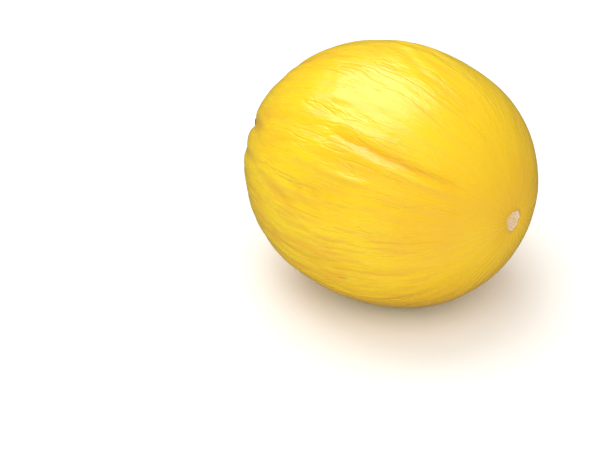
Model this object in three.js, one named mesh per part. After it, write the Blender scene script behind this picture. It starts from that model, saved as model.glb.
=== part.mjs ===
// A whole yellow honeydew melon, lying on its side, in millimetres.
// +Z is up, and +X runs along the fruit from the trimmed stalk (-X) to the blossom
// scar (+X). The fruit stands on the plane z = 0, on a small flat spot of its rind.
//
// The rind is a sphere whose points are moved by one formula. Two angles name a point:
// "along" runs from 0 at the stalk to 180 degrees at the blossom scar, and "around"
// turns about the long axis, from 0 on the +Y side through 90 degrees on top.

import * as THREE from "three";
import { mergeVertices } from "three/addons/utils/BufferGeometryUtils.js";

// The oval of the fruit.
const HALF_WIDTH = 70;
const HALF_LENGTH = 78.5;
const HEIGHT_TO_WIDTH = 0.972;
const BELLY = 0.0326; // how much fuller the ends are than an ellipse's: 0 is an ellipse
const STALK_END_FULLER = 0.006;

// The stalk end is drawn out into a low nose, and the blossom end has a shallow dimple.
const NOSE_HEIGHT = 4.6;
const NOSE_SPREAD = THREE.MathUtils.degToRad(22);
const DIMPLE_DEPTH = 1.2;
const DIMPLE_SPREAD = THREE.MathUtils.degToRad(8);

// Faint lobes that run the whole length: how many there are and how high they stand.
const LOBES = [
  { count: 3, height: 0.35, turned: 0.6 },
  { count: 10, height: 0.22, turned: 1.9 },
];

// The broad folds of the rind, in degrees and millimetres. Each is a valley along the
// fruit at "around", between the two "along" angles, and bends by "sway" on its way.
const FOLDS = [
  { around: 135, from: 92, to: 152, width: 4.2, depth: 1.0, sway: 3 },
  { around: 119, from: 84, to: 127, width: 3.8, depth: 0.6, sway: 2 },
  { around: 162, from: 112, to: 165, width: 6.0, depth: 0.6, sway: -2 },
  { around: 176, from: 108, to: 150, width: 6.0, depth: 0.5, sway: 2 },
  { around: 197, from: 62, to: 128, width: 5.5, depth: 0.6, sway: 3 },
  { around: 222, from: 112, to: 158, width: 6.0, depth: 0.6, sway: -3 },
  { around: 243, from: 58, to: 118, width: 6.0, depth: 0.5, sway: 2 },
  { around: 316, from: 70, to: 138, width: 5.5, depth: 0.7, sway: -3 },
  { around: 343, from: 48, to: 112, width: 5.0, depth: 0.8, sway: 3 },
  { around: 12, from: 84, to: 150, width: 5.5, depth: 0.7, sway: -2 },
  { around: 38, from: 52, to: 122, width: 5.0, depth: 0.8, sway: 3 },
  { around: 66, from: 78, to: 146, width: 5.5, depth: 0.6, sway: -3 },
];

// Short puckers gather round the stalk, one after another. They vary between the two
// depths and the two lengths, and stray from even steps and straight lines.
const PUCKERS = {
  count: 13,
  from: 4,
  shortestTo: 36,
  longestTo: 52,
  width: 3.4,
  shallowest: 0.55,
  deepest: 0.9,
  strayAround: 7,
  straySway: 2,
};

// How fast each quality of the puckers jumps about from one pucker to the next.
const STRAY_RATES = { strength: 2.3, around: 4.1, sway: 3.3 };

// A valley fades out over this share of its length at each end. Near the ends of the
// fruit it is no wider than this share of the girth's radius.
const FADING_SHARE = 0.35;
const WIDEST_TO_GIRTH = 0.17;

// The flat spot: the depth of the resting plane under the long axis, and how softly
// the rind turns into it.
const REST_DEPTH = 65.6;
const REST_EDGE = 0.5;

// The stalk: a short dry stub with five ribs, its trimmed end sunk in the middle.
const STUB_GAP = 0.3;
const STUB_LENGTH = 8.2;
const STUB_FOOT_RADIUS = 3.9;
const STUB_WAIST_RADIUS = 2.7;
const STUB_TIP_RADIUS = 3.1;
const STUB_END_SUNK = 0.08; // as a share of the stub's length
const STUB_RIBS = 5;
const STUB_RIB_HEIGHT = 0.09; // as a share of the stub's radius
const STUB_LEAN = THREE.MathUtils.degToRad(7);

// Half of the stub's outline, as [radius, share of the stub's length]. It starts in the
// middle of the foot and ends in the middle of the sunk trimmed end.
const STUB_OUTLINE = [
  [0, 0],
  [STUB_FOOT_RADIUS * 0.5, 0],
  [STUB_FOOT_RADIUS * 0.9, 0],
  [STUB_FOOT_RADIUS, 0.05],
  [STUB_FOOT_RADIUS * 0.88, 0.15],
  [STUB_WAIST_RADIUS, 0.4],
  [STUB_WAIST_RADIUS, 0.66],
  [STUB_TIP_RADIUS, 0.9],
  [STUB_TIP_RADIUS * 0.93, 1],
  [STUB_TIP_RADIUS * 0.7, 1],
  [STUB_TIP_RADIUS * 0.35, 1 - STUB_END_SUNK],
  [0, 1 - STUB_END_SUNK],
];

// How finely the surfaces are divided.
const STEPS_AROUND = 76;
const STEPS_ALONG = 46;
const STUB_STEPS_AROUND = 30;

const RIND_COLOUR = 0xf6cf2f;
const STUB_COLOUR = 0x7a5a38;

// 1 between two angles and 0 outside them, with soft ends.
function stretch(angle, from, to) {
  const end = (to - from) * FADING_SHARE;
  const rise = THREE.MathUtils.smoothstep(angle, from, from + end);
  const fall = THREE.MathUtils.smoothstep(angle, to - end, to);
  return rise * (1 - fall);
}

// The depth of one valley at a point: a bell across it, and soft ends along it.
// Towards the stalk a valley narrows with the girth, so that neighbours stay apart.
function valleyDepth(valley, along, around, girth) {
  const share = (along - valley.from) / (valley.to - valley.from);
  const middle = valley.around + valley.sway * Math.sin(Math.PI * share);
  const turn = THREE.MathUtils.euclideanModulo(around - middle + 180, 360) - 180;
  const offset = THREE.MathUtils.degToRad(turn) * girth;
  const width = Math.min(valley.width, Math.max(girth, 1) * WIDEST_TO_GIRTH);
  const across = Math.exp(-((offset / width) ** 2));
  return valley.depth * across * stretch(along, valley.from, valley.to);
}

// A value from -1 to 1 for the item numbered i, which jumps about from item to item.
function stray(i, rate) {
  return Math.sin(rate * i);
}

function puckerValleys() {
  const step = 360 / PUCKERS.count;
  const valleys = [];
  for (let i = 0; i < PUCKERS.count; i += 1) {
    const strength = (1 + stray(i, STRAY_RATES.strength)) / 2;
    valleys.push({
      around: i * step + PUCKERS.strayAround * stray(i, STRAY_RATES.around),
      from: PUCKERS.from,
      to: THREE.MathUtils.lerp(PUCKERS.shortestTo, PUCKERS.longestTo, strength),
      width: PUCKERS.width,
      depth: THREE.MathUtils.lerp(PUCKERS.shallowest, PUCKERS.deepest, strength),
      sway: PUCKERS.straySway * stray(i, STRAY_RATES.sway),
    });
  }
  return valleys;
}

const VALLEYS = [...FOLDS, ...puckerValleys()];

// Height of the rind over the plain oval: the lobes less every valley.
function reliefHeight(along, around) {
  const girth = HALF_WIDTH * Math.sin(along);
  let height = 0;
  for (const lobe of LOBES) {
    height += lobe.height * Math.sin(lobe.count * around + lobe.turned) * Math.sin(along) ** 2;
  }
  const alongDegrees = THREE.MathUtils.radToDeg(along);
  const aroundDegrees = THREE.MathUtils.radToDeg(around);
  for (const valley of VALLEYS) {
    height -= valleyDepth(valley, alongDegrees, aroundDegrees, girth);
  }
  return height;
}

// Moves what is below the resting plane up onto it, with a soft edge round the spot.
function restOnPlane(z) {
  const below = -REST_DEPTH - z;
  if (below >= REST_EDGE) {
    return -REST_DEPTH;
  }
  if (below <= -REST_EDGE) {
    return z;
  }
  return -REST_DEPTH + (REST_EDGE - below) ** 2 / (4 * REST_EDGE);
}

// The rind at two angles, in radians: an oval that is a little fuller than an ellipse,
// with its nose, dimple and relief, and flat where it rests.
function rindPoint(along, around) {
  const fuller = (1 + BELLY * Math.cos(2 * along)) / (1 - BELLY);
  const towardsStalk = 1 + STALK_END_FULLER * Math.cos(along);
  const girth = HALF_WIDTH * Math.sin(along) * fuller * towardsStalk;
  const nose = NOSE_HEIGHT * Math.exp(-((along / NOSE_SPREAD) ** 2));
  const dimple = DIMPLE_DEPTH * Math.exp(-(((Math.PI - along) / DIMPLE_SPREAD) ** 2));
  const point = new THREE.Vector3(
    -HALF_LENGTH * Math.cos(along) - nose - dimple,
    girth * Math.cos(around),
    girth * Math.sin(around) * HEIGHT_TO_WIDTH,
  );
  const outward = new THREE.Vector3(
    -Math.cos(along) / HALF_LENGTH,
    (Math.sin(along) * Math.cos(around)) / HALF_WIDTH,
    (Math.sin(along) * Math.sin(around)) / (HALF_WIDTH * HEIGHT_TO_WIDTH),
  ).normalize();
  point.addScaledVector(outward, reliefHeight(along, around));
  point.z = restOnPlane(point.z);
  return point;
}

// Leaves a geometry with nothing but its positions, and joins the points that meet.
function closed(geometry) {
  geometry.deleteAttribute("normal");
  geometry.deleteAttribute("uv");
  const merged = mergeVertices(geometry, 1e-4);
  merged.computeVertexNormals();
  return merged;
}

// The whole fruit: one solid, because it grew as one.
function makeMelonBody() {
  const geometry = new THREE.SphereGeometry(1, STEPS_AROUND, STEPS_ALONG);
  geometry.rotateZ(Math.PI / 2);
  const positions = geometry.attributes.position;
  for (let i = 0; i < positions.count; i += 1) {
    const along = Math.acos(THREE.MathUtils.clamp(-positions.getX(i), -1, 1));
    const around = Math.atan2(positions.getZ(i), positions.getY(i));
    const point = rindPoint(along, around);
    positions.setXYZ(i, point.x, point.y, point.z);
  }
  const material = new THREE.MeshStandardMaterial({
    color: RIND_COLOUR,
    roughness: 0.38,
    metalness: 0,
  });
  const body = new THREE.Mesh(closed(geometry), material);
  body.name = "melon_body";
  return body;
}

// The stub is turned about +Y, from its foot at 0 to its trimmed end, then given its ribs.
function makeStemStub() {
  const profile = [];
  for (const [radius, share] of STUB_OUTLINE) {
    profile.push(new THREE.Vector2(radius, share * STUB_LENGTH));
  }
  const geometry = new THREE.LatheGeometry(profile, STUB_STEPS_AROUND);
  const positions = geometry.attributes.position;
  for (let i = 0; i < positions.count; i += 1) {
    const height = positions.getY(i);
    const turn = Math.atan2(positions.getZ(i), positions.getX(i));
    const ribbed = 1 + STUB_RIB_HEIGHT * Math.cos(STUB_RIBS * turn);
    const leaning = Math.tan(STUB_LEAN) * (height / STUB_LENGTH) * height;
    positions.setXYZ(i, positions.getX(i) * ribbed, height, positions.getZ(i) * ribbed + leaning);
  }
  const material = new THREE.MeshStandardMaterial({
    color: STUB_COLOUR,
    roughness: 0.85,
    metalness: 0,
  });
  const stub = new THREE.Mesh(closed(geometry), material);
  stub.name = "stem_stub";
  stub.rotation.z = Math.PI / 2;
  stub.position.x = -HALF_LENGTH - NOSE_HEIGHT - STUB_GAP;
  return stub;
}

// The origin is under the middle of the whole object, on the resting plane.
const group = new THREE.Group();
group.add(makeMelonBody(), makeStemStub());
group.updateMatrixWorld(true);
const box = new THREE.Box3().setFromObject(group, true);
group.position.set(-(box.min.x + box.max.x) / 2, -(box.min.y + box.max.y) / 2, -box.min.z);
group.updateMatrixWorld(true);

export default group;
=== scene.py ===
import bpy
import numpy as np
from mathutils import Matrix, Vector


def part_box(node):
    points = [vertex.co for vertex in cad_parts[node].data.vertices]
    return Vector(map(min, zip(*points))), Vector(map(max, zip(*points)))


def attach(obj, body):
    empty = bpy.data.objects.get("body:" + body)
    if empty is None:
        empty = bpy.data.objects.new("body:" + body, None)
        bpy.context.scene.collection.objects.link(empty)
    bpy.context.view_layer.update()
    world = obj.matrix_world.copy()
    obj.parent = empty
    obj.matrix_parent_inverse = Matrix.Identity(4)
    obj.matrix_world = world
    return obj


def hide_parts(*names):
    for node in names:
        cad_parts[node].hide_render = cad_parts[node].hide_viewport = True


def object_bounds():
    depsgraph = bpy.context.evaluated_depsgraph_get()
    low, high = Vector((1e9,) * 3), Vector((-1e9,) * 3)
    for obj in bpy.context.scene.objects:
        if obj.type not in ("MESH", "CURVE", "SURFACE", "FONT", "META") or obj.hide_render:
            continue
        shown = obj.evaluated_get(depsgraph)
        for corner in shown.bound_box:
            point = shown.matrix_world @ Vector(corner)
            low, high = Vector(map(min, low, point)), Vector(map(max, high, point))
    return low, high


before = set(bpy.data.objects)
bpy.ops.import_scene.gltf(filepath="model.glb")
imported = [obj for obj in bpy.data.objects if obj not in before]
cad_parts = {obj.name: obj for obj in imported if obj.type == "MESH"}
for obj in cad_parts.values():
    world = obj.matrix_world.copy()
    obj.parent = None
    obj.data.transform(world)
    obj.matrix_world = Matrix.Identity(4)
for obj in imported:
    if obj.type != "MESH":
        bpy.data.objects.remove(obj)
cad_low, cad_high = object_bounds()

# ----------------------------------------------------------------------------------
# The fruit. A ripe yellow honeydew melon, lying on its side on a small flat spot. Its
# rind is thick and waxy and grew as one skin, puckered round the stalk and folded
# lengthwise. It is made as one closed surface of two angles.
# ----------------------------------------------------------------------------------

# Sizes are in millimetres. "Along" runs from 0 at the stalk (-X) to pi at the blossom
# scar (+X), and "around" turns about the long axis, from 0 on the +Y side through a
# quarter turn on top.
HALF_WIDTH = 70.0
HALF_LENGTH = 78.5
HEIGHT_TO_WIDTH = 0.972
BELLY = 0.0326
STALK_END_FULLER = 0.006
NOSE_HEIGHT = 4.6
NOSE_SPREAD = np.radians(22)
DIMPLE_DEPTH = 1.2
DIMPLE_SPREAD = np.radians(8)
REST_DEPTH = 65.6
REST_EDGE = 0.5

COLUMNS = 640
ROWS = 154
ROW_BUNCHING = 0.62

# Lobes that run the whole length: how many, how high, and where they start.
LOBES = ((3, 0.35, 0.6), (10, 0.22, 1.9))

# Folds of the rind, in degrees and millimetres: where each lies around the fruit, the
# start and end of its stretch along the fruit, its width, its depth and its bend. A
# depth under 0 is a ridge.
BROAD_FOLDS = (
    (135.5, 86, 158, 3.0, 1.4, 2),
    (139, 26, 104, 3.6, 0.7, -2),
    (147, 12, 58, 4.2, 1.9, -2),
    (96, 26, 62, 3.6, 1.3, 1),
    (127, 74, 98, 3.2, 0.5, 1),
    (119, 84, 127, 3.8, 0.2, 2),
    (146, 94, 140, 4.0, 0.35, 1),
    (162, 112, 165, 6.0, 0.6, -2),
    (176, 108, 150, 6.0, 0.5, 2),
    (197, 62, 128, 5.5, 0.6, 3),
    (222, 112, 158, 6.0, 0.6, -3),
    (243, 58, 118, 6.0, 0.5, 2),
    (316, 70, 138, 5.5, 0.7, -3),
    (343, 48, 112, 5.0, 0.8, 3),
    (12, 84, 150, 5.5, 0.7, -2),
    (38, 52, 122, 5.0, 0.8, 3),
    (66, 78, 146, 5.5, 0.22, -3),
)
FINE_FOLDS = (
    (135.5, 92, 156, 1.7, 0.35, 2),
    (140.2, 98, 154, 2.6, -1.1, 2),
    (130.8, 80, 122, 2.6, -0.45, 1),
    (118.8, 86, 124, 1.6, 0.16, 1.5),
    (151.5, 88, 119, 1.75, -1.1, 0.5),
    (190, 84, 136, 2.4, -0.35, 2),
    (202, 76, 122, 2.2, -0.3, -2),
    (208, 105, 120, 1.8, 0.35, 0),
    (215, 88, 142, 2.6, -0.35, 1),
    (106, 96, 130, 1.8, 0.14, 2),
    (95, 76, 104, 1.7, 0.12, 1),
    (79, 88, 120, 1.8, 0.12, -2),
    (168, 60, 92, 1.8, 0.35, 2),
    (183, 74, 101, 1.8, 0.35, -2),
    (56, 60, 96, 1.8, 0.35, 2),
    (24, 70, 118, 1.8, 0.4, -2),
    (352, 88, 136, 1.8, 0.4, 2),
    (330, 56, 98, 1.8, 0.35, 2),
)
FADING_SHARE = 0.35
WIDEST_TO_GIRTH = 0.17

# Puckers gathered round the stalk, in the same units: folds of one kind, whose ends,
# depths and places vary between limits.
PUCKER_COUNT = 13
PUCKER_FROM = 4
PUCKER_TO = (38, 62)
PUCKER_WIDTH = 3.4
PUCKER_DEPTH = (0.55, 0.9)
PUCKER_STRAY_AROUND = 7
PUCKER_STRAY_SWAY = 2

# Wrinkles with no set place: their height or depth, the fewest and most turns that a wave
# makes round the fruit, how much it slants, how many waves are summed, and how softly
# each valley turns. The sway bends them all, and creases run where their own field is high.
SWAY = dict(reach=0.045, turns=(1, 5), slant=9.0, waves=16)
SWELLS = dict(height=0.17, turns=(4, 13), slant=7.0, waves=26)
PUFFS = (
    dict(height=0.31, turns=(8, 20), slant=9.0, waves=50, softness=0.3),
    dict(height=0.17, turns=(18, 34), slant=17.0, waves=70, softness=0.55),
)
RIPPLES = dict(height=0.04, turns=(36, 62), slant=32.0, waves=80)
CREASES = dict(depth=0.25, turns=(7, 17), slant=9.0, waves=50, sharpness=0.35)
CREASED_WHERE = dict(full_at=1.2, turns=(3, 11), slant=9.0, waves=20)
WRINKLE_SEED = 41

# The wrinkles fade towards both ends, over these degrees along and to these shares, and
# once more where the girth is small.
STALK_END_FADE = (45, 84)
STALK_END_SHARE = 0.55
BLOSSOM_END_FADE = (88, 122)
BLOSSOM_END_SHARE = 0.22
SMALL_GIRTH = 1.6

# How far each kind of dip darkens the rind with painted shade, and the most that it may.
BROAD_HOLLOW_SHADE = 0.4
FINE_HOLLOW_SHADE = 0.7
DEEPEST_HOLLOW_SHADE = 1.5

# The corky scar where the blossom fell off, and the corky collar round the stalk. The
# waves of an outline are given as the lobes are, with their heights as shares of it.
SCAR_RADIUS = 5.0
SCAR_RIM_HEIGHT = 0.38
SCAR_RIM_WIDTH = 0.75
SCAR_SUNK = 0.2
SCAR_FLOOR_EDGE = (1.3, 0.2)
SCAR_MOAT_DEPTH = 0.16
SCAR_MOAT_WIDTH = 0.9
SCAR_MOAT_OUTSIDE = 1.9
SCAR_NUB_HEIGHT = 0.35
SCAR_NUB_RADIUS = 0.75
SCAR_RING_HEIGHT = 0.07
SCAR_RING_TURNS = 4.2
SCAR_RAY_HEIGHT = 0.06
SCAR_RAYS = 17
SCAR_RAYS_FROM = (0.6, 2)
SCAR_WAVES = ((3, 0.07, 0.4), (7, 0.04, 2))
COLLAR_RADIUS = 4.9
COLLAR_HEIGHT = 0.4
COLLAR_WIDTH = 1.1
COLLAR_WAVES = ((5, 0.08, 0.9), (11, 0.05, 0))
COLLAR_RAYS = 20
COLLAR_RAY_DEPTH = 0.12
COLLAR_RAY_MIDDLE = 6.5
COLLAR_RAY_REACH = 3.0
COLLAR_RAY_SHARPNESS = 0.35

# What the mask of one end holds at the other end of the fruit, where it marks nothing.
FAR_AWAY = 99.0


def bell(offset, width):
    """1 at no offset, and falls off on both sides as a Gaussian does."""
    return np.exp(-((offset / width) ** 2))


def ease(value, low, high):
    """0 below low, 1 above high, and a smooth S of degree three between them."""
    share = np.clip((value - low) / (high - low), 0, 1)
    return share * share * (3 - 2 * share)


def ripple(around, waves):
    """A sum of sines round a circle, each of a whole number of waves, a height and a start."""
    return sum(height * np.sin(count * around + start) for count, height, start in waves)


def bunched_angles(steps, bunching):
    """Angles from 0 to pi: even steps less a sine, which brings them together at the ends."""
    share = np.linspace(0, 1, steps + 1)
    return np.pi * (share - bunching * np.sin(2 * np.pi * share) / (2 * np.pi))


def pucker_folds():
    """The folds round the stalk: even steps, each strayed from by a sine of its number."""
    number = np.arange(PUCKER_COUNT)
    strength = (1 + np.sin(2.3 * number)) / 2
    around = number * 360 / PUCKER_COUNT + PUCKER_STRAY_AROUND * np.sin(4.1 * number)
    end = PUCKER_TO[0] + (PUCKER_TO[1] - PUCKER_TO[0]) * strength
    depth = PUCKER_DEPTH[0] + (PUCKER_DEPTH[1] - PUCKER_DEPTH[0]) * strength
    sway = PUCKER_STRAY_SWAY * np.sin(3.3 * number)
    return [
        (around[i], PUCKER_FROM, end[i], PUCKER_WIDTH, depth[i], sway[i]) for i in number
    ]


def fold_depths(folds, along, around):
    """The summed depth of folds: each is a bell across, faded at both ends, whose middle
    line bends by a half sine. Near the poles it narrows with the girth."""
    girth = HALF_WIDTH * np.sin(along)
    degrees = np.degrees(along)
    total = np.zeros_like(along)
    for middle, start, end, width, depth, sway in folds:
        share = (degrees - start) / (end - start)
        line = middle + sway * np.sin(np.pi * share)
        turn = (np.degrees(around) - line + 180) % 360 - 180
        fade = (end - start) * FADING_SHARE
        stretch = ease(degrees, start, start + fade) * (1 - ease(degrees, end - fade, end))
        narrowed = np.minimum(width, np.maximum(girth, 1) * WIDEST_TO_GIRTH)
        total += depth * stretch * bell(np.radians(turn) * girth, narrowed)
    return total


def lengthwise_waves(random, along, around, kind):
    """A field of unit size that changes fast round the fruit and slowly along it: a sum
    of sines, each with a whole number of turns, so that it meets itself."""
    fewest, most = kind["turns"]
    field = np.zeros_like(along)
    for _ in range(kind["waves"]):
        turning = random.integers(fewest, most + 1)
        slanting = random.uniform(-kind["slant"], kind["slant"])
        start = random.uniform(0, 2 * np.pi)
        field += np.sin(turning * around + slanting * along + start)
    return field * np.sqrt(2 / kind["waves"])


def wrinkle_strength(along):
    """How much of the wrinkles is left along the fruit: all of it near the middle."""
    degrees = np.degrees(along)
    by_stalk = STALK_END_SHARE + (1 - STALK_END_SHARE) * ease(degrees, *STALK_END_FADE)
    by_blossom = 1 - (1 - BLOSSOM_END_SHARE) * ease(degrees, *BLOSSOM_END_FADE)
    by_girth = np.minimum(1, np.sin(along) * SMALL_GIRTH) ** 2
    return by_stalk * by_blossom * by_girth


def wrinkle_relief(along, around):
    """Swells and ripples, and puffs: fields folded up along the lines where they pass
    zero, as the root of their square plus a small square, so that puffed strips meet in
    valleys. Less creases: lines where a field passes zero, where a slower one is high.
    All are weaker by the ends. Also how deep the relief goes where it is a dip."""
    random = np.random.default_rng(WRINKLE_SEED)
    bent = around + SWAY["reach"] * lengthwise_waves(random, along, around, SWAY)
    relief = SWELLS["height"] * lengthwise_waves(random, along, bent, SWELLS)
    relief += RIPPLES["height"] * lengthwise_waves(random, along, bent, RIPPLES)
    for kind in PUFFS:
        folded = np.sqrt(lengthwise_waves(random, along, bent, kind) ** 2 + kind["softness"] ** 2)
        relief += kind["height"] * (folded - 1)
    chosen = lengthwise_waves(random, along, bent, CREASED_WHERE)
    lines = bell(lengthwise_waves(random, along, bent, CREASES), CREASES["sharpness"])
    creases = CREASES["depth"] * lines * ease(chosen, 0, CREASED_WHERE["full_at"])
    relief = wrinkle_strength(along) * (relief - creases)
    return relief, np.clip(-relief, 0, None)


def scar_relief(distance, around):
    """The blossom scar by distance from its middle, over its wavy outline: a rim, a
    moat outside it, a sunk floor with ring-shaped ripples and rays, and a nub in the
    middle. Also the distance as a share of the outline."""
    outline = SCAR_RADIUS * (1 + ripple(around, SCAR_WAVES))
    rim = SCAR_RIM_HEIGHT * bell(distance - outline, SCAR_RIM_WIDTH)
    moat = SCAR_MOAT_DEPTH * bell(distance - outline - SCAR_MOAT_OUTSIDE, SCAR_MOAT_WIDTH)
    inner, outer = SCAR_FLOOR_EDGE
    inside = 1 - ease(distance, outline - inner, outline - outer)
    rings = SCAR_RING_HEIGHT * np.sin(SCAR_RING_TURNS * distance + 1.2 * np.sin(3 * around))
    rays = SCAR_RAY_HEIGHT * np.sin(SCAR_RAYS * around + 2 * distance)
    floor = inside * (rings + rays * ease(distance, *SCAR_RAYS_FROM) - SCAR_SUNK)
    nub = SCAR_NUB_HEIGHT * bell(distance, SCAR_NUB_RADIUS)
    return rim - moat + floor + nub, distance / outline


def collar_relief(distance, around):
    """The collar round the stalk by distance from its middle: a low ring, split by rays
    where the sine of half their number of turns passes zero."""
    outline = COLLAR_RADIUS * (1 + ripple(around, COLLAR_WAVES))
    ring = COLLAR_HEIGHT * bell(distance - outline, COLLAR_WIDTH)
    turning = np.sin(COLLAR_RAYS / 2 * around + np.sin(3 * around))
    reach = bell(distance - COLLAR_RAY_MIDDLE, COLLAR_RAY_REACH)
    return ring - COLLAR_RAY_DEPTH * reach * bell(turning, COLLAR_RAY_SHARPNESS)


def settled(height):
    """Height, but never under the resting plane, and eased into it over a soft edge."""
    below = -REST_DEPTH - height
    edge = -REST_DEPTH + (REST_EDGE - below) ** 2 / (4 * REST_EDGE)
    eased = np.where(below > -REST_EDGE, edge, height)
    return np.where(below > REST_EDGE, -REST_DEPTH, eased)


def rind_points(along, around):
    """The rind: an oval a little fuller than an ellipse, with its nose and dimple, moved
    along its outward direction by the relief, and flat where it rests. Also the masks
    that the finish follows."""
    fuller = (1 + BELLY * np.cos(2 * along)) / (1 - BELLY)
    girth = HALF_WIDTH * np.sin(along) * fuller * (1 + STALK_END_FULLER * np.cos(along))
    nose = NOSE_HEIGHT * bell(along, NOSE_SPREAD)
    dimple = DIMPLE_DEPTH * bell(np.pi - along, DIMPLE_SPREAD)
    oval = np.stack(
        [
            -HALF_LENGTH * np.cos(along) - nose - dimple,
            girth * np.cos(around),
            girth * np.sin(around) * HEIGHT_TO_WIDTH,
        ],
        axis=-1,
    )
    outward = np.stack(
        [
            -np.cos(along) / HALF_LENGTH,
            np.sin(along) * np.cos(around) / HALF_WIDTH,
            np.sin(along) * np.sin(around) / (HALF_WIDTH * HEIGHT_TO_WIDTH),
        ],
        axis=-1,
    )
    outward /= np.linalg.norm(outward, axis=-1, keepdims=True)
    lobes = ripple(around, LOBES) * np.sin(along) ** 2
    broad = fold_depths(BROAD_FOLDS + tuple(pucker_folds()), along, around)
    fine = fold_depths(FINE_FOLDS, along, around)
    wrinkles, wrinkle_depth = wrinkle_relief(along, around)
    at_scar = along > np.pi / 2
    scar, scar_reach = scar_relief(girth, around)
    relief = lobes - broad - fine + wrinkles
    relief = relief + np.where(at_scar, scar, collar_relief(girth, around))
    points = oval + outward * relief[..., None]
    points[..., 2] = settled(points[..., 2])
    # The hollow mask says how deep each dip is, and so where painted shade darkens the rind.
    hollow_shade = BROAD_HOLLOW_SHADE * broad + FINE_HOLLOW_SHADE * fine + wrinkle_depth
    masks = {
        "hollow_shade": np.clip(hollow_shade, 0, DEEPEST_HOLLOW_SHADE),
        "scar": np.where(at_scar, scar_reach, FAR_AWAY),
        "collar": np.where(at_scar, FAR_AWAY, girth / COLLAR_RADIUS),
    }
    return points, masks


def closed_surface(name, rings, tips):
    """A mesh from a grid of rings between two tips: a fan at each tip and four-sided
    faces between, with their fronts outwards. Smooth all over."""
    count, sides, _ = rings.shape
    vertices = np.concatenate([rings.reshape(-1, 3), tips])
    column = np.arange(sides)
    following = (column + 1) % sides
    row = np.arange(count - 1)[:, None] * sides
    quads = np.stack(
        [row + column, row + following, row + sides + following, row + sides + column],
        axis=-1,
    ).reshape(-1, 4)
    last = (count - 1) * sides
    first_fan = np.stack([following, column, np.full(sides, count * sides)], axis=-1)
    last_fan = np.stack(
        [last + column, last + following, np.full(sides, count * sides + 1)], axis=-1
    )
    fans = np.concatenate([first_fan, last_fan])
    corners = np.concatenate([quads.ravel(), fans.ravel()])
    starts = np.concatenate(
        [np.arange(len(quads)) * 4, len(quads) * 4 + np.arange(len(fans)) * 3]
    )
    mesh = bpy.data.meshes.new(name)
    mesh.vertices.add(len(vertices))
    mesh.vertices.foreach_set("co", vertices.astype(np.float32).ravel())
    mesh.loops.add(len(corners))
    mesh.loops.foreach_set("vertex_index", corners.astype(np.int32))
    mesh.polygons.add(len(starts))
    mesh.polygons.foreach_set("loop_start", starts.astype(np.int32))
    mesh.update(calc_edges=True)
    mesh.validate()
    mesh.polygons.foreach_set("use_smooth", np.ones(len(mesh.polygons), bool))
    piece = bpy.data.objects.new(name, mesh)
    bpy.context.scene.collection.objects.link(piece)
    return piece


def keep_attribute(piece, name, values):
    """Stores one number or one vector for each vertex of a piece."""
    values = np.asarray(values, np.float32)
    kind, field = ("FLOAT", "value") if values.ndim == 1 else ("FLOAT_VECTOR", "vector")
    attribute = piece.data.attributes.new(name, kind, "POINT")
    attribute.data.foreach_set(field, values.ravel())


along_steps = bunched_angles(ROWS, ROW_BUNCHING)
around_steps = np.arange(COLUMNS) * 2 * np.pi / COLUMNS
inner_along, all_around = np.meshgrid(along_steps[1:-1], around_steps, indexing="ij")
rind_rings, rind_masks = rind_points(inner_along, all_around)
tip_along = np.array([0.0, np.pi])
rind_tips, tip_masks = rind_points(tip_along, np.zeros(2))

# The formula's box is laid exactly over the box of the fruit's solid in the frame.
body_low, body_high = (np.array(corner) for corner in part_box("melon_body"))
formula_low = rind_rings.reshape(-1, 3).min(axis=0)
formula_high = rind_rings.reshape(-1, 3).max(axis=0)
to_frame = (body_high - body_low) / (formula_high - formula_low)
rind_rings = body_low + (rind_rings - formula_low) * to_frame
rind_tips = body_low + (rind_tips - formula_low) * to_frame
body_middle = body_low - formula_low * to_frame

melon = closed_surface("melon_rind", rind_rings, rind_tips)
for mask_name in rind_masks:
    values = np.concatenate([rind_masks[mask_name].ravel(), tip_masks[mask_name]])
    keep_attribute(melon, mask_name, values)

# The grain of the rind: a place in millimetres on a drum as wide as the fruit and as
# long as its rind from end to end. A pattern on it is drawn together at both ends, as
# the streaks of a real rind are.
every_along = np.concatenate([inner_along.ravel(), tip_along])
every_around = np.concatenate([all_around.ravel(), np.zeros(2)])
grain = np.stack(
    [
        HALF_WIDTH * np.cos(every_around),
        HALF_WIDTH * np.sin(every_around),
        HALF_LENGTH * every_along,
    ],
    axis=-1,
)
keep_attribute(melon, "grain", grain)
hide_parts("melon_body")
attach(melon, "root")

# The finish of the rind: bright yellow under a thin natural wax. It deepens to gold in
# long streaks, stronger low down partly as painted shade, and carries painted shade in
# amber in the hollows and low down. It turns green by the stalk and cream where it lay on
# the ground, and carries pale pores, brown flecks and a few healed scratches.
RIPE = "f6d002"
GOLD = "eeb400"
PALE = "fcdc2c"
# Amber is painted shade, laid in the hollows and on the underside.
SHADE_AMBER = "e09a08"
GREENISH = "c5c03c"
GROUND_CREAM = "f4e295"
PORE_CREAM = "fbe98b"
FLECK_BROWN = "a9702c"
CORK_LIGHT = "fdeac4"
CORK_DARK = "ecc890"
# The brownish colour of the ring round the scar: a stain, and partly painted shade.
CORK_ROSE = "fbd6b6"
SCAR_STAIN_AND_SHADE = "d29a2c"
WAX_ROUGHNESS = (0.25, 0.35)
CORK_ROUGHNESS = 0.85
WAX_SPECULAR = 0.95
COAT_WEIGHT = 0.25
COAT_ROUGHNESS = 0.16
RIND_BUMP = 0.00016

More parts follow.
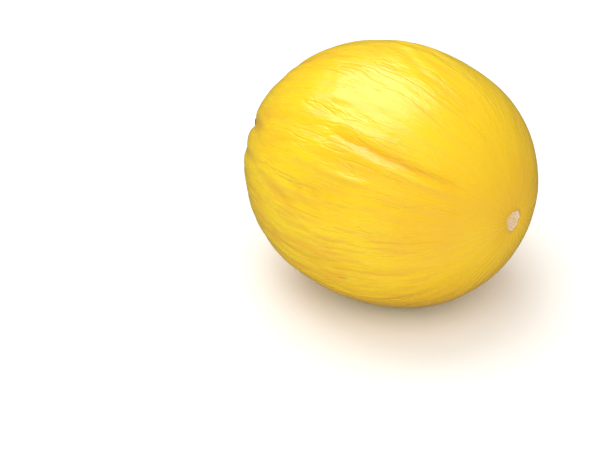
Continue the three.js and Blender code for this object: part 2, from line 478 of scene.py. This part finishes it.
# The patterns: streaks and creases with the width and length in millimetres of one
# wave, and cells of which a share holds a pore or a fleck.
LONG_STREAKS = {"Width": 4.4, "Length": 30.0, "Contrast": 2.6}
FINE_STREAKS = {"Width": 1.5, "Length": 6.0, "Contrast": 2.6}
LONG_CREASES = {"Width": 5.2, "Length": 30.0, "Thickness": 0.055}
SMALL_CREASES = {"Width": 2.6, "Length": 13.0, "Thickness": 0.09}
PALE_PORES = {"Per Metre": 330.0, "Size": 0.13, "Share": 0.7}
BROWN_FLECKS = {"Per Metre": 85.0, "Size": 0.055, "Share": 0.2}
CORK_FLAKES_PER_METRE = 900.0
CREASES_PRESENT = (0.4, 0.58)
FLECK_CORE = 0.45
SCRATCH_CORE = 0.45
CORK_PATCHES = (0.35, 0.68)
CORK_CRACK = 0.16
CORK_GRAIN_SIZE = 0.45
CORK_GRAIN_HEIGHT = 0.6

# How the patterns tint the rind and dull its wax: the values at which each starts and is
# full, and its share at each of the two, or one share for all of it.
RIPER = (0.42, 0.72, 0.0, 0.5)
GOLD_STREAKS = (0.35, 1.0)
PALE_STREAKS = (0.5, 1.0, 0.0, 0.22)
RAGGED_GREEN = (0.1, 0.8, 0.45, 1.0)
# The amber in the hollows is painted shade.
AMBER_HOLLOW_SHADE = (0.05, 1.1, 0.0, 0.5)
PORE_SHARE = 0.35
FLECK_SHARE = 0.7
MARK_SHARE = 0.75
EARTH_DULLS = 0.15
MARK_DULLS = 0.25

# Where a tint or a relief starts and where it is full, and its share at each of the
# two: by height (Z) or by length (X), in metres from the fruit's middle, and by
# distance from the middle of the scar or the collar, in radii.
# Gold streaks are the rind's own, but they grow stronger low down partly as painted shade.
STREAKS_AND_SHADE_BY_HEIGHT = (0.03, -0.01, 0.28, 0.75)
# Amber low down is painted shade on the underside.
UNDERSIDE_SHADE_BY_HEIGHT = (-0.02, -0.052, 0.0, 0.34)
CREAM_BY_HEIGHT = (-0.046, -0.058, 0.0, 0.7)
CREASED_BY_HEIGHT = (-0.02, 0.03, 0.45, 1.0)
GOLD_BY_LENGTH = (0.015, 0.07, 0.0, 0.4)
GREEN_BY_LENGTH = (-0.058, -0.086, 0.0, 0.75)
CREASED_BY_LENGTH = (-0.05, -0.015, 0.4, 1.0)
STREAKED_FROM_SCAR = (3.0, 14.0)
ROSE_IN_SCAR = (0.6, 0.9, 0.0, 0.6)
STAIN_AND_SHADE_ROUND_SCAR = (1.55, 1.05, 0.0, 0.55)
CORK_IN_SCAR = (1.12, 1.0)
CORK_IN_COLLAR = (0.95, 0.6)
COLLAR_FRAYING = -0.7
CREAM_RAGGEDNESS = 0.012

# The heights of the finest relief, as shares of its depth.
SKIN_HEIGHT = 0.3
STREAK_HEIGHT = 0.35
LONG_CREASE_DEPTH = 1.4
SMALL_CREASE_DEPTH = 0.7
PORE_DEPTH = 0.25
CORK_HEIGHT = 1.4

# Healed scratches: the middle in metres from the fruit's middle, the turns about each
# axis in degrees, and the half length and half width in metres. Each reaches through
# the rind by its half width times the lift.
SCRATCH_LIFT = 6
SCRATCHES = (
    ((0.061, -0.030, -0.028), (0, 25, 20), (0.0024, 0.0005)),
    ((0.018, -0.062, -0.026), (0, -12, 5), (0.0042, 0.0004)),
    ((-0.030, 0.050, 0.034), (10, 30, -35), (0.0060, 0.0005)),
    ((0.040, 0.052, 0.020), (0, -40, 30), (0.0035, 0.0004)),
    ((-0.044, -0.036, 0.038), (0, 20, -40), (0.0030, 0.0004)),
)


def paint(code):
    """The linear colour of a six-figure sRGB code."""
    display = np.array([int(code[i : i + 2], 16) for i in (0, 2, 4)]) / 255
    linear = np.where(display > 0.04045, ((display + 0.055) / 1.055) ** 2.4, display / 12.92)
    return (*linear.tolist(), 1.0)


def add(tree, kind, inputs=None, **settings):
    """Adds a node, applies its settings, and sets or links its inputs by name or number."""
    made = tree.nodes.new(kind)
    for name, value in settings.items():
        setattr(made, name, value)
    for name, value in (inputs or {}).items():
        if isinstance(value, bpy.types.NodeSocket):
            tree.links.new(value, made.inputs[name])
        else:
            made.inputs[name].default_value = value
    return made


def calculate(tree, operation, first, second=0.0):
    """The result of one Math node."""
    return add(tree, "ShaderNodeMath", {0: first, 1: second}, operation=operation).outputs[0]


def product(tree, first, *others):
    """Values multiplied together, by one Math node for each after the first."""
    for other in others:
        first = calculate(tree, "MULTIPLY", first, other)
    return first


def move_place(tree, operation, place, by):
    """The result of one Vector Math node: a place moved or scaled by a vector."""
    made = add(tree, "ShaderNodeVectorMath", {0: place, 1: by}, operation=operation)
    return made.outputs[0]


def nudged(tree, place, noise, reach):
    """A place moved by the colour of a noise times a reach."""
    inputs = {0: noise.outputs[1], 1: (reach, reach, reach), 2: place}
    made = add(tree, "ShaderNodeVectorMath", inputs, operation="MULTIPLY_ADD")
    return made.outputs[0]


def blend_colours(tree, share, first, second):
    """first where share is 0, second where it is 1."""
    mix = add(tree, "ShaderNodeMix", {0: share, 6: first, 7: second}, data_type="RGBA")
    return mix.outputs[2]


def remap(tree, value, low, high, to_low=0.0, to_high=1.0):
    """A value carried smoothly from one range to another, and held at its ends."""
    inputs = {"Value": value, 1: low, 2: high, 3: to_low, 4: to_high}
    made = add(tree, "ShaderNodeMapRange", inputs, interpolation_type="SMOOTHSTEP")
    return made.outputs[0]


def new_group(name, inputs, outputs):
    """An empty node group with named sockets, and its two ends."""
    group = bpy.data.node_groups.new(name, "ShaderNodeTree")
    for direction, sockets in (("INPUT", inputs), ("OUTPUT", outputs)):
        for socket_name, kind in sockets.items():
            group.interface.new_socket(
                socket_name, in_out=direction, socket_type="NodeSocket" + kind
            )
    given = group.nodes.new("NodeGroupInput").outputs
    result = group.nodes.new("NodeGroupOutput").inputs
    return group, given, result


def use_group(tree, group, inputs):
    """Places a node group in a tree and gives its outputs."""
    return add(tree, "ShaderNodeGroup", inputs, node_tree=group).outputs


def squeezed_grain(group, given):
    """The place on the grain, divided by Width across it and by Length along it."""
    inputs = {0: given["Width"], 1: given["Width"], 2: given["Length"]}
    size = add(group, "ShaderNodeCombineXYZ", inputs).outputs[0]
    return move_place(group, "DIVIDE", given["Grain"], size)


def make_streaks_group():
    """Streaks: noise on the squeezed grain, spread by Contrast about its middle value."""
    group, given, result = new_group(
        "lengthwise_streaks",
        {"Grain": "Vector", "Width": "Float", "Length": "Float", "Contrast": "Float"},
        {"Streak": "Float"},
    )
    noise = add(
        group,
        "ShaderNodeTexNoise",
        {
            "Vector": squeezed_grain(group, given),
            "Scale": 1.0,
            "Detail": 3.0,
            "Roughness": 0.55,
        },
    )
    centred = calculate(group, "SUBTRACT", noise.outputs[0], 0.5)
    spread = product(group, centred, given["Contrast"])
    shifted = calculate(group, "ADD", spread, 0.5)
    group.links.new(remap(group, shifted, 0.0, 1.0), result["Streak"])
    return group


def make_creases_group():
    """Creases: thin lines where a warped noise on the squeezed grain passes its middle
    value. They come and go with a slower noise."""
    group, given, result = new_group(
        "lengthwise_creases",
        {"Grain": "Vector", "Width": "Float", "Length": "Float", "Thickness": "Float"},
        {"Crease": "Float"},
    )
    squeezed = squeezed_grain(group, given)
    slow = add(group, "ShaderNodeTexNoise", {"Vector": squeezed, "Scale": 0.4, "Detail": 1.0})
    warped = nudged(group, squeezed, slow, reach=0.85)
    noise = add(group, "ShaderNodeTexNoise", {"Vector": warped, "Scale": 1.0, "Detail": 1.0})
    centred = calculate(group, "SUBTRACT", noise.outputs[0], 0.5)
    from_middle = calculate(group, "ABSOLUTE", centred)
    line = remap(group, from_middle, given["Thickness"], 0.0)
    present = remap(group, slow.outputs[0], *CREASES_PRESENT)
    group.links.new(product(group, line, present), result["Crease"])
    return group


def make_flecks_group():
    """Round flecks: the nearer part of each cell of a scatter, in a share of the cells."""
    group, given, result = new_group(
        "flecks",
        {"Place": "Vector", "Per Metre": "Float", "Size": "Float", "Share": "Float"},
        {"Mask": "Float"},
    )
    place = given["Place"]
    wobble = add(group, "ShaderNodeTexNoise", {"Vector": place, "Scale": 900.0, "Detail": 2.0})
    cells = add(
        group,
        "ShaderNodeTexVoronoi",
        {"Vector": nudged(group, place, wobble, reach=0.0006), "Scale": given["Per Metre"]},
    )
    inner = product(group, given["Size"], FLECK_CORE)
    near = add(
        group,
        "ShaderNodeMapRange",
        {"Value": cells.outputs["Distance"], 1: given["Size"], 2: inner},
    )
    pick = add(group, "ShaderNodeSeparateColor", {0: cells.outputs["Color"]})
    chosen = calculate(group, "LESS_THAN", pick.outputs[0], given["Share"])
    group.links.new(product(group, near.outputs[0], chosen), result["Mask"])
    return group


def make_cork_group():
    """Cork: pale flakes parted by darker cracks, with a fine grain over both."""
    group, given, result = new_group(
        "cork",
        {"Place": "Vector", "Per Metre": "Float", "Light": "Color", "Dark": "Color"},
        {"Color": "Color", "Height": "Float"},
    )
    place = given["Place"]
    soft = add(
        group,
        "ShaderNodeTexNoise",
        {
            "Vector": place,
            "Scale": product(group, given["Per Metre"], CORK_GRAIN_SIZE),
            "Detail": 4.0,
            "Roughness": 0.62,
        },
    )
    cracks = add(
        group,
        "ShaderNodeTexVoronoi",
        {"Vector": nudged(group, place, soft, reach=0.0009), "Scale": given["Per Metre"]},
        feature="DISTANCE_TO_EDGE",
    )
    flake = remap(group, cracks.outputs[0], 0.0, CORK_CRACK)
    patch = remap(group, soft.outputs[0], *CORK_PATCHES)
    light_share = product(group, flake, patch)
    colour = blend_colours(group, light_share, given["Dark"], given["Light"])
    group.links.new(colour, result["Color"])
    grain_height = product(group, soft.outputs[0], CORK_GRAIN_HEIGHT)
    group.links.new(calculate(group, "ADD", grain_height, flake), result["Height"])
    return group


def make_scratch_group():
    """One healed scratch: a long ragged oval about Middle, turned by Turn."""
    group, given, result = new_group(
        "healed_scratch",
        {"Place": "Vector", "Middle": "Vector", "Turn": "Vector", "Reach": "Vector"},
        {"Mask": "Float"},
    )
    place = given["Place"]
    ragged = add(group, "ShaderNodeTexNoise", {"Vector": place, "Scale": 700.0, "Detail": 3.0})
    local = add(
        group,
        "ShaderNodeMapping",
        {
            "Vector": nudged(group, place, ragged, reach=0.0005),
            "Location": given["Middle"],
            "Rotation": given["Turn"],
            "Scale": given["Reach"],
        },
        vector_type="TEXTURE",
    )
    far = add(group, "ShaderNodeVectorMath", {0: local.outputs[0]}, operation="LENGTH")
    group.links.new(remap(group, far.outputs["Value"], 1.0, SCRATCH_CORE), result["Mask"])
    return group


STREAKS = make_streaks_group()
CREASE_LINES = make_creases_group()
FLECKS = make_flecks_group()
CORK = make_cork_group()
SCRATCH = make_scratch_group()


def attribute(tree, name, kind="Fac"):
    """A value kept on the piece, by name: a number, or a Vector."""
    return add(tree, "ShaderNodeAttribute", attribute_name=name).outputs[kind]


def scratch_mask(tree, place):
    """The strongest mask of all the healed scratches."""
    scratches = 0.0
    for middle, turn, (half_length, half_width) in SCRATCHES:
        reach = (half_length, half_width * SCRATCH_LIFT, half_width)
        mask = use_group(
            tree,
            SCRATCH,
            {"Place": place, "Middle": middle, "Turn": tuple(np.radians(turn)), "Reach": reach},
        )["Mask"]
        scratches = calculate(tree, "MAXIMUM", mask, scratches)
    return scratches


def make_rind_material():
    """Wax over yellow skin, from the skin's own colour outwards to its marks and cork."""
    material = bpy.data.materials.new("rind")
    material.use_nodes = True
    tree = material.node_tree
    shader = tree.nodes["Principled BSDF"]
    place = add(tree, "ShaderNodeTexCoord").outputs["Object"]
    centred = move_place(tree, "SUBTRACT", place, tuple(body_middle))
    by_axis = add(tree, "ShaderNodeSeparateXYZ", {0: centred}).outputs
    length_place, height_place = by_axis[0], by_axis[2]
    grain = attribute(tree, "grain", "Vector")
    hollow_shade = attribute(tree, "hollow_shade")
    scar_reach = attribute(tree, "scar")
    collar_reach = attribute(tree, "collar")

    # Slow changes of ripeness, long streaks and fine ones, and painted shade in amber in the
    # hollows.
    clouds = add(
        tree,
        "ShaderNodeTexNoise",
        {"Vector": centred, "Scale": 22.0, "Detail": 3.0, "Roughness": 0.5},
    ).outputs[0]
    riper = remap(tree, clouds, *RIPER)
    colour = blend_colours(tree, riper, paint(RIPE), paint(GOLD))
    long_streak = use_group(tree, STREAKS, {"Grain": grain, **LONG_STREAKS})["Streak"]
    fine_streak = use_group(tree, STREAKS, {"Grain": grain, **FINE_STREAKS})["Streak"]
    # The gold streaks are the rind's own; their share grows low down as painted shade.
    from_scar = remap(tree, scar_reach, *STREAKED_FROM_SCAR)
    gold_and_shade_share = remap(tree, height_place, *STREAKS_AND_SHADE_BY_HEIGHT)
    gold_streak_and_shade = product(tree, remap(tree, long_streak, *GOLD_STREAKS), gold_and_shade_share, from_scar)
    colour = blend_colours(tree, gold_streak_and_shade, colour, paint(GOLD))
    pale_streak = product(tree, remap(tree, fine_streak, *PALE_STREAKS), from_scar)
    colour = blend_colours(tree, pale_streak, colour, paint(PALE))
    hollow_shade_share = remap(tree, hollow_shade, *AMBER_HOLLOW_SHADE)
    colour = blend_colours(tree, hollow_shade_share, colour, paint(SHADE_AMBER))

    # Golder by the blossom end, painted shade in amber low down, green round the stalk, cream
    # where it lay.
    by_blossom = remap(tree, length_place, *GOLD_BY_LENGTH)
    colour = blend_colours(tree, by_blossom, colour, paint(GOLD))
    underside_shade = remap(tree, height_place, *UNDERSIDE_SHADE_BY_HEIGHT)
    colour = blend_colours(tree, underside_shade, colour, paint(SHADE_AMBER))
    by_stalk = remap(tree, length_place, *GREEN_BY_LENGTH)
    ragged_green = product(tree, by_stalk, remap(tree, long_streak, *RAGGED_GREEN))
    colour = blend_colours(tree, ragged_green, colour, paint(GREENISH))
    lying = calculate(tree, "ADD", height_place, product(tree, clouds, CREAM_RAGGEDNESS))
    on_ground = remap(tree, lying, *CREAM_BY_HEIGHT)
    colour = blend_colours(tree, on_ground, colour, paint(GROUND_CREAM))

    # Pale pores all over, sparse brown flecks, and the healed scratches.
    pores = use_group(tree, FLECKS, {"Place": centred, **PALE_PORES})["Mask"]
    colour = blend_colours(tree, product(tree, pores, PORE_SHARE), colour, paint(PORE_CREAM))
    flecks = use_group(tree, FLECKS, {"Place": centred, **BROWN_FLECKS})["Mask"]
    scratches = scratch_mask(tree, centred)
    marks = calculate(tree, "MAXIMUM", product(tree, flecks, FLECK_SHARE), scratches)
    colour = blend_colours(tree, product(tree, marks, MARK_SHARE), colour, paint(FLECK_BROWN))

    # The cork of the blossom scar and of the collar.
    cork = use_group(
        tree,
        CORK,
        {
            "Place": centred,
            "Per Metre": CORK_FLAKES_PER_METRE,
            "Light": paint(CORK_LIGHT),
            "Dark": paint(CORK_DARK),
        },
    )
    rosy = remap(tree, scar_reach, *ROSE_IN_SCAR)
    scar_colour = blend_colours(tree, rosy, cork["Color"], paint(CORK_ROSE))
    # A brownish ring just outside the scar: a stain, and partly painted shade where the rind dips
    # into the moat.
    stain_and_shade = remap(tree, scar_reach, *STAIN_AND_SHADE_ROUND_SCAR)
    colour = blend_colours(tree, stain_and_shade, colour, paint(SCAR_STAIN_AND_SHADE))
    in_scar = remap(tree, scar_reach, *CORK_IN_SCAR)
    colour = blend_colours(tree, in_scar, colour, scar_colour)
    frayed = calculate(tree, "ADD", collar_reach, product(tree, fine_streak, COLLAR_FRAYING))
    in_collar = remap(tree, frayed, *CORK_IN_COLLAR)
    colour = blend_colours(tree, in_collar, colour, cork["Color"])
    in_cork = calculate(tree, "MAXIMUM", in_scar, in_collar)
    tree.links.new(colour, shader.inputs["Base Color"])

    # Wax where there is skin, dull where there is cork, a scratch or earth.
    waxed = remap(tree, long_streak, 0.0, 1.0, *WAX_ROUGHNESS)
    grounded = calculate(tree, "ADD", waxed, product(tree, on_ground, EARTH_DULLS))
    marked = calculate(tree, "ADD", grounded, product(tree, marks, MARK_DULLS))
    rough = add(tree, "ShaderNodeMix", {0: in_cork, 2: marked, 3: CORK_ROUGHNESS})
    tree.links.new(rough.outputs[0], shader.inputs["Roughness"])
    bare = calculate(tree, "MAXIMUM", in_cork, marks)
    wax = remap(tree, bare, 0.0, 1.0, COAT_WEIGHT, 0.0)
    tree.links.new(wax, shader.inputs["Coat Weight"])
    shader.inputs["Coat Roughness"].default_value = COAT_ROUGHNESS
    shader.inputs["Specular IOR Level"].default_value = WAX_SPECULAR

    # The finest relief: creases, skin grain, pores and cracks.
    creases = use_group(tree, CREASE_LINES, {"Grain": grain, **LONG_CREASES})["Crease"]
    small_creases = use_group(tree, CREASE_LINES, {"Grain": grain, **SMALL_CREASES})["Crease"]
    skin = add(
        tree,
        "ShaderNodeTexNoise",
        {"Vector": centred, "Scale": 420.0, "Detail": 4.0, "Roughness": 0.6},
    ).outputs[0]
    streak_height = product(tree, fine_streak, STREAK_HEIGHT, from_scar)
    height = calculate(tree, "ADD", product(tree, skin, SKIN_HEIGHT), streak_height)
    creased_high = remap(tree, height_place, *CREASED_BY_HEIGHT)
    creased_far = remap(tree, length_place, *CREASED_BY_LENGTH)
    creased = product(tree, from_scar, creased_high, creased_far)
    deep = product(tree, creases, LONG_CREASE_DEPTH, creased)
    shallow = product(tree, small_creases, SMALL_CREASE_DEPTH, creased)
    for dip in (deep, shallow, product(tree, pores, PORE_DEPTH)):
        height = calculate(tree, "SUBTRACT", height, dip)
    cork_height = product(tree, cork["Height"], CORK_HEIGHT)
    height = add(tree, "ShaderNodeMix", {0: in_cork, 2: height, 3: cork_height}).outputs[0]
    bump = add(tree, "ShaderNodeBump", {"Strength": 1.0, "Distance": RIND_BUMP, "Height": height})
    tree.links.new(bump.outputs[0], shader.inputs["Normal"])
    return material


melon.data.materials.append(make_rind_material())

# ----------------------------------------------------------------------------------
# The stalk. A short stub left when the fruit was cut from the vine: five-ribbed, dry
# and fibrous, with a ring of hard strands round soft pith at the trimmed end. Its foot
# runs on into the collar. It is made as rings carried along a leaning line.
# ----------------------------------------------------------------------------------

MM = 0.001
STUB_SIDES = 160
STUB_ROWS = 90
STUB_LENGTH = 8.2
STUB_RIBS = 5
STUB_RIB_HEIGHT = 0.09
STUB_LEAN = np.tan(np.radians(7))
STUB_SUNK_IN_FRUIT = 1.2
STUB_TWIST = 0.25

# What breaks up its round side, as shares of the radius. The ribs are broad on top, with
# narrow valleys between them. The fibres are given by how many there are, how high they
# stand and how far they wander, and the unevenness by waves round, slant and height.
RIB_BROADNESS = 0.25
STUB_FIBRES = ((23, 0.02, 1.3), (41, 0.012, 0))
FIBRES_LOST_ON_END = 0.7
STUB_UNEVENNESS = ((3, 4, 0.03), (2, -7, 0.02))

# Where the end face starts and where it is full, as shares of the outline. Then its ring
# of strands: how many, how high, and the middle and width of the ring, from the axis.
# The face itself is a little wavy, in waves given as the lobes of the fruit are.
STUB_END_FACE = (0.66, 0.8)
STRAND_COUNT = 10
STRAND_HEIGHT = 0.16
STRAND_RING = (1.9, 0.45)
END_WAVES = ((2, 0.1, 1),)

# The outline: the radius in millimetres, and the height as a share of the length. It runs
# from under the rind up the side, over the rim and in to the middle of the end face.
STUB_OUTLINE = (
    (3.30, -0.10),
    (3.85, 0.00),
    (3.80, 0.07),
    (3.30, 0.17),
    (2.80, 0.34),
    (2.62, 0.55),
    (2.74, 0.74),
    (3.05, 0.90),
    (3.08, 0.965),
    (2.85, 1.0),
    (2.45, 0.995),
    (1.95, 0.955),
    (1.30, 0.925),
    (0.60, 0.93),
    (0.05, 0.935),
)
JUST_BEFORE_LAST = 0.000001
STUB_BUMP = 0.00022


def smooth_line(points, samples):
    """A Catmull-Rom curve through points, sampled evenly between them."""
    points = np.array(points)
    padded = np.concatenate([[2 * points[0] - points[1]], points, [2 * points[-1] - points[-2]]])
    place = np.linspace(0, len(points) - 1 - JUST_BEFORE_LAST, samples)
    start = place.astype(int)
    share = (place - start)[:, None]
    before, first, second, after = (padded[start + i] for i in range(4))
    return 0.5 * (
        2 * first
        + (second - before) * share
        + (2 * before - 5 * first + 4 * second - after) * share**2
        + (3 * first - before - 3 * second + after) * share**3
    )


def stub_rings():
    """Rings of the outline's radius, ribbed all round, grooved by fibres and a little
    uneven, at the outline's height, and moved upwards as the square of it. Strands
    stand up in a ring on the end face. Also how much each point belongs to that face."""
    outline = smooth_line(STUB_OUTLINE, STUB_ROWS)
    radius, share = outline[:, :1], outline[:, 1:]
    turn = np.arange(STUB_SIDES)[None, :] * 2 * np.pi / STUB_SIDES
    end_face = ease(np.arange(STUB_ROWS)[:, None] / STUB_ROWS, *STUB_END_FACE)
    ribs = np.cos(STUB_RIBS * turn) - RIB_BROADNESS * np.cos(2 * STUB_RIBS * turn)
    twisted = turn + STUB_TWIST * share
    fibres = sum(
        height * np.sin(count * twisted + wander * np.sin(4 * turn))
        for count, height, wander in STUB_FIBRES
    )
    uneven = sum(
        height * np.sin(count * turn + slant * share)
        for count, slant, height in STUB_UNEVENNESS
    )
    fibres = fibres * (1 - FIBRES_LOST_ON_END * end_face)
    ribbed = radius * (1 + STUB_RIB_HEIGHT * ribs + fibres + uneven)
    ring_middle, ring_width = STRAND_RING
    strands = STRAND_HEIGHT * bell(radius - ring_middle, ring_width) * np.cos(STRAND_COUNT * turn)
    height = share * STUB_LENGTH + end_face * (strands + ripple(turn, END_WAVES))
    lean = STUB_LEAN * np.clip(share, 0, None) ** 2 * STUB_LENGTH
    rings = np.stack([-height, ribbed * np.cos(turn), ribbed * np.sin(turn) + lean], axis=-1)
    return rings, end_face + np.zeros_like(turn)


stub_low, stub_high = (np.array(corner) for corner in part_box("stem_stub"))
rings, on_end = stub_rings()
rings_low = rings.reshape(-1, 3).min(axis=0)
rings_high = rings.reshape(-1, 3).max(axis=0)

# The stub keeps its size in millimetres, or shrinks to fit the box of the stalk's solid.
widest = np.minimum((stub_high - stub_low)[1:] / (rings_high - rings_low)[1:], MM)
stub_axis = np.array([stub_high[0], body_middle[1], body_middle[2]])
longest = min(MM, (stub_low[0] - stub_axis[0]) / rings_low[0])
rings = stub_axis + rings * [longest, *widest]
foot_tip = stub_axis + [STUB_SUNK_IN_FRUIT * MM, 0, 0]
end_tip = rings[-1].mean(axis=0)
stub = closed_surface("stalk_stub", rings[::-1], np.stack([end_tip, foot_tip]))
keep_attribute(stub, "end_face", np.concatenate([on_end[::-1].ravel(), [1, 0]]))
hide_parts("stem_stub")
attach(stub, "root")

# The finish of the stalk, with its fibres drawn out along it.
STALK_TAN = "a98d5e"
STALK_BROWN = "5f4025"
STALK_GREEN = "8c8f4e"
PITH = "c9b184"
STALK_ROUGHNESS = 0.85
FIBRES_DRAWN_OUT = (0.22, 1.0, 1.0)
FIBRES_PER_METRE = 1500.0
PITH_PER_METRE = 1800.0


def make_stalk_material():
    """Dry brown fibres over what is left of the green, and paler pith at the end."""
    material = bpy.data.materials.new("dry_stalk")
    material.use_nodes = True
    tree = material.node_tree
    shader = tree.nodes["Principled BSDF"]
    place = add(tree, "ShaderNodeTexCoord").outputs["Object"]
    end_face = attribute(tree, "end_face")
    bark = use_group(
        tree,
        CORK,
        {
            "Place": move_place(tree, "MULTIPLY", place, FIBRES_DRAWN_OUT),
            "Per Metre": FIBRES_PER_METRE,
            "Light": paint(STALK_TAN),
            "Dark": paint(STALK_BROWN),
        },
    )
    pith = use_group(
        tree,
        CORK,
        {
            "Place": place,
            "Per Metre": PITH_PER_METRE,
            "Light": paint(PITH),
            "Dark": paint(STALK_BROWN),
        },
    )
    green = add(tree, "ShaderNodeTexNoise", {"Vector": place, "Scale": 260.0, "Detail": 2.0})
    green_share = remap(tree, green.outputs[0], 0.45, 0.7, 0.0, 0.6)
    side = blend_colours(tree, green_share, bark["Color"], paint(STALK_GREEN))
    colour = blend_colours(tree, end_face, side, pith["Color"])
    tree.links.new(colour, shader.inputs["Base Color"])
    shader.inputs["Roughness"].default_value = STALK_ROUGHNESS
    blend = {0: end_face, 2: bark["Height"], 3: pith["Height"]}
    height = add(tree, "ShaderNodeMix", blend).outputs[0]
    bump = add(tree, "ShaderNodeBump", {"Strength": 1.0, "Distance": STUB_BUMP, "Height": height})
    tree.links.new(bump.outputs[0], shader.inputs["Normal"])
    return material


stub.data.materials.append(make_stalk_material())

# ----------------------------------------------------------------------------------
# The stage. A plain pale floor, a broad soft light overhead, a weaker one from the
# front, an even sky, and a camera that looks down along the fruit's shoulder.
# ----------------------------------------------------------------------------------

FLOOR_HALF = 4.0
FLOOR_WHITE = "fafafa"
FLOOR_ROUGHNESS = 0.9
FLOOR_SPECULAR = 0.1
OVERHEAD = dict(toward=(-0.32, 0.08, 0.94), distance=0.9, size=(0.85, 0.9), power=5.3)
FRONT_FILL = dict(toward=(0.38, -0.56, 0.74), distance=1.5, size=(1.6, 1.2), power=12.0)

# How strong the sky is where it lights the fruit, and where the wax mirrors it.
SKY_WHITE = "ffffff"
SKY_LIGHT = 0.62
SKY_MIRRORED = 0.1

CAMERA_AZIMUTH = np.radians(37.6)
CAMERA_ELEVATION = np.radians(30.3)
CAMERA_DISTANCE = 0.98
CAMERA_LENS = 112.5
SENSOR = 36.0
AIM_LEFT = 0.0472
AIM_DOWN = 0.0272


def make_floor():
    """One square, pale and dull, which the wax does not mirror."""
    mesh = bpy.data.meshes.new("floor")
    corners = [(-1, -1), (1, -1), (1, 1), (-1, 1)]
    z = cad_low[2]
    mesh.from_pydata([(FLOOR_HALF * x, FLOOR_HALF * y, z) for x, y in corners], [], [(0, 1, 2, 3)])
    floor = bpy.data.objects.new("floor", mesh)
    bpy.context.scene.collection.objects.link(floor)
    material = bpy.data.materials.new("pale_floor")
    material.use_nodes = True
    shader = material.node_tree.nodes["Principled BSDF"]
    shader.inputs["Base Color"].default_value = paint(FLOOR_WHITE)
    shader.inputs["Roughness"].default_value = FLOOR_ROUGHNESS
    shader.inputs["Specular IOR Level"].default_value = FLOOR_SPECULAR
    mesh.materials.append(material)
    floor.visible_glossy = False


def add_soft_light(name, toward, distance, size, power, mirrored):
    """A rectangular lamp at a distance from the fruit's middle, turned to face it. One
    that is not mirrored lights the fruit but makes no highlight on it."""
    lamp = bpy.data.lights.new(name, "AREA")
    lamp.shape = "RECTANGLE"
    lamp.size, lamp.size_y = size
    lamp.energy = power
    holder = bpy.data.objects.new(name, lamp)
    bpy.context.scene.collection.objects.link(holder)
    direction = Vector(toward).normalized()
    holder.location = Vector(body_middle) + direction * distance
    holder.rotation_mode = "QUATERNION"
    holder.rotation_quaternion = direction.to_track_quat("Z", "Y")
    holder.visible_glossy = mirrored


make_floor()
add_soft_light("overhead_softbox", mirrored=True, **OVERHEAD)
add_soft_light("front_fill", mirrored=False, **FRONT_FILL)
world = bpy.data.worlds.new("studio")
world.use_nodes = True
sky = world.node_tree
background = sky.nodes["Background"].inputs
background["Color"].default_value = paint(SKY_WHITE)
mirrored_share = add(sky, "ShaderNodeLightPath").outputs["Is Glossy Ray"]
sky_strength = remap(sky, mirrored_share, 0.0, 1.0, SKY_LIGHT, SKY_MIRRORED)
sky.links.new(sky_strength, background["Strength"])
bpy.context.scene.world = world
bpy.context.scene.view_settings.view_transform = "Standard"

# The camera stands by angle and distance from the fruit's middle, and looks a little to
# the left of it and below it, so that the fruit lies in the upper right of the picture.
back = Vector(
    (
        np.sin(CAMERA_AZIMUTH) * np.cos(CAMERA_ELEVATION),
        -np.cos(CAMERA_AZIMUTH) * np.cos(CAMERA_ELEVATION),
        np.sin(CAMERA_ELEVATION),
    )
)
level = Vector((np.cos(CAMERA_AZIMUTH), np.sin(CAMERA_AZIMUTH), 0))
upright = back.cross(level)
stand = Vector(body_middle) + back * CAMERA_DISTANCE
aim = Vector(body_middle) - level * AIM_LEFT - upright * AIM_DOWN
away = (stand - aim).normalized()
across = (level - away * level.dot(away)).normalized()
turned = Matrix((across, away.cross(across), away)).transposed()
camera = bpy.data.objects.new("camera", bpy.data.cameras.new("camera"))
camera.data.lens = CAMERA_LENS
camera.data.sensor_width = SENSOR
camera.rotation_mode = "QUATERNION"
camera.location = stand
camera.rotation_quaternion = turned.to_quaternion()
bpy.context.scene.collection.objects.link(camera)
bpy.context.scene.camera = camera
